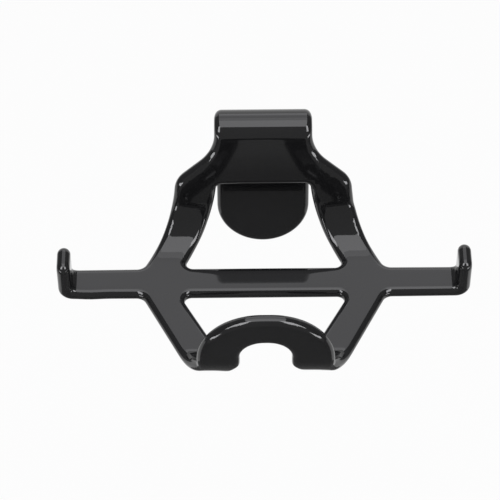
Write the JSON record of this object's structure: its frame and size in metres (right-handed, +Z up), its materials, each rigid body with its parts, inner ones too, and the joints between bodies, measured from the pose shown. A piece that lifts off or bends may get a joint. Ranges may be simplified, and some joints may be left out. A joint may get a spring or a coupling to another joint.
{
  "type": "phone mount cradle",
  "caption": "Bent sheet phone cradle in a thick black dip coat: hook-over tongue, curved struts, crossbar with side flanges and an upturned, notched front lip.",
  "frame": {"origin": "seat of the hook: the middle of the inside of its top, where the edge it hangs on bears", "axes": "+Z up along the neck, -Y towards the front where the phone lies, +X along the arms"},
  "size_m": [0.1768, 0.1002, 0.0769],
  "materials": {
    "steel": "satin",
    "vinyl": "gloss"
  },
  "bodies": {
    "root": {"steel_core": "steel", "vinyl_coating": "vinyl"}
  },
  "joints": []
}
